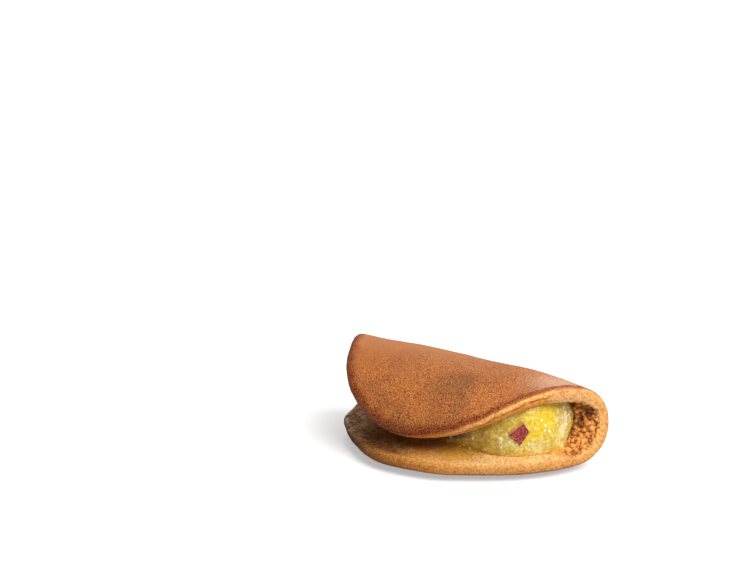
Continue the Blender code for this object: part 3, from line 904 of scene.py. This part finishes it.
deselect()
bpy.ops.mesh.primitive_cylinder_add(vertices=4, radius=1, depth=CUBE_DEPTH)
cube = bpy.context.object
cube.name = "potato_cube"
corners = {(0, 1): CUBE_TOP, (1, 0): CUBE_RIGHT, (0, -1): CUBE_BOTTOM, (-1, 0): CUBE_LEFT}
for vertex in cube.data.vertices:
    vertex.co.x, vertex.co.y = corners[round(vertex.co.x), round(vertex.co.y)]
bevel = cube.modifiers.new("soft_edges", "BEVEL")
bevel.width = CUBE_BEVEL
bevel.segments = 3
bpy.ops.object.modifier_apply(modifier=bevel.name)
fine = cube.modifiers.new("fine_cells", "REMESH")
fine.mode = "VOXEL"
fine.voxel_size = CUBE_CELL
bpy.ops.object.modifier_apply(modifier=fine.name)
sunk = cube_place + cube_outward * (CUBE_PROUD - CUBE_DEPTH / 2)
axes = Matrix((cube_sideways, cube_up, cube_outward)).transposed().to_4x4()
cube.matrix_world = Matrix.Translation(sunk) @ axes
bpy.ops.object.transform_apply(location=True, rotation=True)
places = read_vectors(cube.data.vertices, "co")
rough = np.array([[SKIN_WAVE_HEIGHT * lumps(Vector(place), SKIN_WAVE, 2.5)
                   + SKIN_PIMPLE_HEIGHT * lumps(Vector(place), SKIN_PIMPLE)] for place in places])
move_vertices(cube, places + read_vectors(cube.data.vertex_normals, "vector") * rough)
bpy.ops.object.shade_smooth()

# The skin's cut edge shows as a thin pale line along the cube's four sides
CUT_WIDTH = 0.00045
flat_places = np.column_stack([(places - np.array(cube_place)) @ np.array(axis)
                               for axis in (cube_sideways, cube_up)])
outline = [np.array(corner) for corner in (CUBE_TOP, CUBE_LEFT, CUBE_BOTTOM, CUBE_RIGHT)]
inside = []
for start, end in zip(outline, outline[1:] + outline[:1]):
    side = (end - start) / np.linalg.norm(end - start)
    inside.append((flat_places - start) @ np.array([-side[1], side[0]]))
keep_values(cube, "cut", 1 - (np.min(inside, axis=0) / CUT_WIDTH).clip(0, 1))

SKIN_GRAIN = 0.0007
SCUFF_RADIUS = 0.0018       # where the skin is rubbed off, low at the left
SKIN_DARK = shade(104, 18, 14)
SKIN_MAROON = shade(168, 46, 32)
SKIN_PINK = shade(222, 146, 126)
SKIN_CUT = shade(228, 178, 132)
FLESH_ORANGE = shade(230, 148, 60)
skin, tree, surface, place = new_material("potato_skin")
grain = grain_values(tree, place, SKIN_GRAIN)[0]
tone = blend_colors(tree, rise(tree, grain, 0.36, 0.56), SKIN_DARK, SKIN_MAROON)
tone = blend_colors(tree, rise(tree, grain, 0.62, 0.82, 0.0, 0.7), tone, SKIN_PINK)
tone = blend_colors(tree, rise(tree, vertex_value(tree, "cut"), 0.3, 0.9, 0.0, 0.7), tone, SKIN_CUT)
scuffed = cube_place - cube_sideways * 0.0022 - cube_up * 0.0026
scuffs = overlap(tree, patch_value(tree, place, scuffed, SCUFF_RADIUS), rise(tree, grain, 0.44, 0.58))
tone = blend_colors(tree, scuffs, tone, FLESH_ORANGE)
tree.links.new(tone, surface.inputs["Base Color"])
surface.inputs["Roughness"].default_value = 0.35
surface.inputs["Coat Weight"].default_value = 0.3
surface.inputs["Coat Roughness"].default_value = 0.15
bump = add_node(tree, "ShaderNodeBump", {"Height": grain, "Distance": 0.0002, "Strength": 0.8})
tree.links.new(bump.outputs["Normal"], surface.inputs["Normal"])
cube.data.materials.append(skin)
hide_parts("skin_piece")
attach(cube, "root")

# The table, the light and the camera
# A plain white table in soft light from the right and above, seen from the front right and a
# little above, as the photograph has it.
PAPER_WHITE = (0.66, 0.66, 0.66, 1.0)
PAPER_GLOW = 0.42           # only the camera sees the paper this much brighter
ROOM_LIGHT = 0.22

deselect()
bpy.ops.mesh.primitive_plane_add(size=12)
floor = bpy.context.object
floor.name = "white_table"
paper, tree, surface, place = new_material("white_paper")
surface.inputs["Base Color"].default_value = PAPER_WHITE
surface.inputs["Roughness"].default_value = 0.9
surface.inputs["Emission Color"].default_value = (1, 1, 1, 1)
seen = add_node(tree, "ShaderNodeLightPath").outputs["Is Camera Ray"]
tree.links.new(share_of(tree, seen, PAPER_GLOW), surface.inputs["Emission Strength"])
floor.data.materials.append(paper)

world = bpy.data.worlds.new("white_room")
world.use_nodes = True
world.node_tree.nodes["Background"].inputs["Color"].default_value = (1, 1, 1, 1)
world.node_tree.nodes["Background"].inputs["Strength"].default_value = ROOM_LIGHT
bpy.context.scene.world = world


def from_direction(azimuth, elevation):
    """The way from the origin at an azimuth, 0 at the open lips and 90 at the +X end."""
    return Vector((sin(azimuth) * cos(elevation), -cos(azimuth) * cos(elevation), sin(elevation)))


def soft_light(name, azimuth, elevation, strength, width):
    """A far light in degrees, as wide in the sky as its soft shadow asks."""
    light = bpy.data.lights.new(name, "SUN")
    light.energy = strength
    light.angle = radians(width)
    lamp = bpy.data.objects.new(name, light)
    bpy.context.scene.collection.objects.link(lamp)
    towards = from_direction(radians(azimuth), radians(elevation))
    lamp.rotation_euler = towards.to_track_quat("Z", "Y").to_euler()


soft_light("key_light", azimuth=82, elevation=45, strength=3.45, width=44)
soft_light("back_light", azimuth=190, elevation=65, strength=1.0, width=70)

STAND_AZIMUTH = radians(35.937)
STAND_HEIGHT = radians(17.251)
STAND_DISTANCE = 0.600
LOOK_AZIMUTH = radians(39.991)
LOOK_DOWN = radians(12.329)
ROLL = radians(-1.203)
LENS = 79.85

camera = bpy.data.cameras.new("camera")
camera.lens = LENS
camera.sensor_width = 36
camera.clip_start = 0.01
camera_object = bpy.data.objects.new("camera", camera)
bpy.context.scene.collection.objects.link(camera_object)
back = from_direction(LOOK_AZIMUTH, LOOK_DOWN)
right = Vector((cos(LOOK_AZIMUTH), sin(LOOK_AZIMUTH), 0))
up = back.cross(right)
rolled_right = right * cos(ROLL) + up * sin(ROLL)
rolled_up = up * cos(ROLL) - right * sin(ROLL)
axes = Matrix((rolled_right, rolled_up, back)).transposed().to_4x4()
stand = from_direction(STAND_AZIMUTH, STAND_HEIGHT) * STAND_DISTANCE - Vector(foot)
camera_object.matrix_world = Matrix.Translation(stand) @ axes
bpy.context.scene.camera = camera_object
bpy.context.scene.view_settings.view_transform = "Standard"
